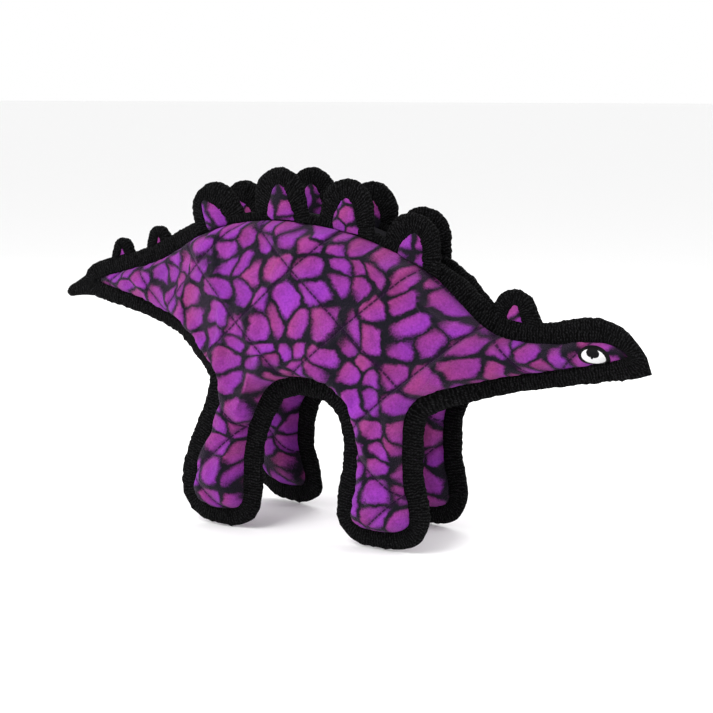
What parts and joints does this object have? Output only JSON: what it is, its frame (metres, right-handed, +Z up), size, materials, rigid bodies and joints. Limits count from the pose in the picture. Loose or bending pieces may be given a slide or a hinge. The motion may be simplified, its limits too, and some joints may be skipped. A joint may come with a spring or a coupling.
{
  "type": "stuffed dinosaur toy",
  "caption": "Stuffed stegosaurus with quilted fleece panels, webbing-bound seams, flapping back plates, splaying legs and a swaying neck, head and tail.",
  "frame": {"origin": "on the ground, under the middle of the overall length and width", "axes": "+X from the tail to the nose, +Y to the toy's left, +Z up"},
  "size_m": [0.402, 0.1048, 0.2191],
  "materials": {
    "printed_fleece": "short-nap quilted fleece, magenta and violet scales on dark ground",
    "dark_fleece": "short-nap black fleece",
    "webbing": "ribbed knit tape, near black",
    "stuffing": "loose polyester fibre",
    "pouch_cloth": "plain woven cloth",
    "bulb_rubber": "soft moulded",
    "reed_plastic": "moulded",
    "white_thread": "satin-stitch embroidery",
    "black_thread": "satin-stitch embroidery"
  },
  "bodies": {
    "torso": {"right_side_panel": "printed_fleece", "left_side_panel": "printed_fleece", "back_gusset": "dark_fleece", "belly_gusset": "printed_fleece", "torso_stuffing": "stuffing", "squeaker_bulb": "bulb_rubber", "squeaker_reed": "reed_plastic", "squeaker_pouch": "pouch_cloth", "right_torso_binding": "webbing", "left_torso_binding": "webbing"},
    "tail": {"right_tail_panel": "printed_fleece", "left_tail_panel": "printed_fleece", "tail_stuffing": "stuffing", "tail_binding": "webbing", "tail_plate_faces": "printed_fleece"},
    "neck": {"right_neck_panel": "printed_fleece", "left_neck_panel": "printed_fleece", "neck_stuffing": "stuffing", "neck_binding": "webbing", "neck_plate_face": "printed_fleece"},
    "head": {"right_head_panel": "printed_fleece", "left_head_panel": "printed_fleece", "head_stuffing": "stuffing", "head_binding": "webbing", "eye_whites": "white_thread", "eye_pupils": "black_thread", "eye_rims": "black_thread"},
    "front_right_leg": {"front_right_leg_outer_panel": "printed_fleece", "front_right_leg_inner_panel": "printed_fleece", "front_right_leg_stuffing": "stuffing", "front_right_leg_binding": "webbing"},
    "front_left_leg": {"front_left_leg_outer_panel": "printed_fleece", "front_left_leg_inner_panel": "printed_fleece", "front_left_leg_stuffing": "stuffing", "front_left_leg_binding": "webbing"},
    "rear_right_leg": {"rear_right_leg_outer_panel": "printed_fleece", "rear_right_leg_inner_panel": "printed_fleece", "rear_right_leg_stuffing": "stuffing", "rear_right_leg_binding": "webbing"},
    "rear_left_leg": {"rear_left_leg_outer_panel": "printed_fleece", "rear_left_leg_inner_panel": "printed_fleece", "rear_left_leg_stuffing": "stuffing", "rear_left_leg_binding": "webbing"},
    "right_plate_1": {"right_plate_1": "printed_fleece", "right_plate_1_binding": "webbing"},
    "left_plate_1": {"left_plate_1": "printed_fleece", "left_plate_1_binding": "webbing"},
    "right_plate_2": {"right_plate_2": "printed_fleece", "right_plate_2_binding": "webbing"},
    "left_plate_2": {"left_plate_2": "printed_fleece", "left_plate_2_binding": "webbing"},
    "right_plate_3": {"right_plate_3": "printed_fleece", "right_plate_3_binding": "webbing"},
    "left_plate_3": {"left_plate_3": "printed_fleece", "left_plate_3_binding": "webbing"},
    "right_plate_4": {"right_plate_4": "printed_fleece", "right_plate_4_binding": "webbing"},
    "left_plate_4": {"left_plate_4": "printed_fleece", "left_plate_4_binding": "webbing"}
  },
  "joints": [
    {"name": "tail_sway", "type": "hinge", "parent": "torso", "child": "tail", "pos_m": [-0.103, 0, 0.14], "axis": [0, 0, 1], "range_deg": [-16, 16], "stiffness_Nm_per_rad": 0.25},
    {"name": "neck_sway", "type": "hinge", "parent": "torso", "child": "neck", "pos_m": [0.094, 0, 0.115], "axis": [0, 0, 1], "range_deg": [-16, 16], "stiffness_Nm_per_rad": 0.25},
    {"name": "head_turn", "type": "hinge", "parent": "neck", "child": "head", "pos_m": [0.146, 0, 0.114], "axis": [0, 0, 1], "range_deg": [-16, 16], "stiffness_Nm_per_rad": 0.12},
    {"name": "front_right_leg_splay", "type": "hinge", "parent": "torso", "child": "front_right_leg", "pos_m": [0.053, -0.035, 0.088], "axis": [-1, 0, 0], "range_deg": [-10, 12], "stiffness_Nm_per_rad": 0.6},
    {"name": "front_left_leg_splay", "type": "hinge", "parent": "torso", "child": "front_left_leg", "pos_m": [0.053, 0.035, 0.088], "axis": [1, 0, 0], "range_deg": [-10, 12], "stiffness_Nm_per_rad": 0.6},
    {"name": "rear_right_leg_splay", "type": "hinge", "parent": "torso", "child": "rear_right_leg", "pos_m": [-0.036, -0.035, 0.088], "axis": [-1, 0, 0], "range_deg": [-10, 12], "stiffness_Nm_per_rad": 0.6},
    {"name": "rear_left_leg_splay", "type": "hinge", "parent": "torso", "child": "rear_left_leg", "pos_m": [-0.036, 0.035, 0.088], "axis": [1, 0, 0], "range_deg": [-10, 12], "stiffness_Nm_per_rad": 0.6},
    {"name": "right_plate_1_flap", "type": "hinge", "parent": "torso", "child": "right_plate_1", "pos_m": [-0.06299, -0.0186, 0.18276], "axis": [0.9613, 0, 0.2756], "range_deg": [-15, 25], "stiffness_Nm_per_rad": 0.02},
    {"name": "left_plate_1_flap", "type": "hinge", "parent": "torso", "child": "left_plate_1", "pos_m": [-0.06299, 0.0186, 0.18276], "axis": [-0.9613, 0, -0.2756], "range_deg": [-15, 25], "stiffness_Nm_per_rad": 0.02},
    {"name": "right_plate_2_flap", "type": "hinge", "parent": "torso", "child": "right_plate_2", "pos_m": [-0.02094, -0.0187, 0.1877], "axis": [0.9998, 0, -0.0175], "range_deg": [-15, 25], "stiffness_Nm_per_rad": 0.02},
    {"name": "left_plate_2_flap", "type": "hinge", "parent": "torso", "child": "left_plate_2", "pos_m": [-0.02094, 0.0187, 0.1877], "axis": [-0.9998, 0, 0.0175], "range_deg": [-15, 25], "stiffness_Nm_per_rad": 0.02},
    {"name": "right_plate_3_flap", "type": "hinge", "parent": "torso", "child": "right_plate_3", "pos_m": [0.02125, -0.0154, 0.18252], "axis": [0.9781, 0, -0.2079], "range_deg": [-15, 25], "stiffness_Nm_per_rad": 0.02},
    {"name": "left_plate_3_flap", "type": "hinge", "parent": "torso", "child": "left_plate_3", "pos_m": [0.02125, 0.0154, 0.18252], "axis": [-0.9781, 0, 0.2079], "range_deg": [-15, 25], "stiffness_Nm_per_rad": 0.02},
    {"name": "right_plate_4_flap", "type": "hinge", "parent": "torso", "child": "right_plate_4", "pos_m": [0.06163, -0.0106, 0.16741], "axis": [0.891, 0, -0.454], "range_deg": [-10, 25], "stiffness_Nm_per_rad": 0.02},
    {"name": "left_plate_4_flap", "type": "hinge", "parent": "torso", "child": "left_plate_4", "pos_m": [0.06163, 0.0106, 0.16741], "axis": [-0.891, 0, 0.454], "range_deg": [-10, 25], "stiffness_Nm_per_rad": 0.02}
  ]
}
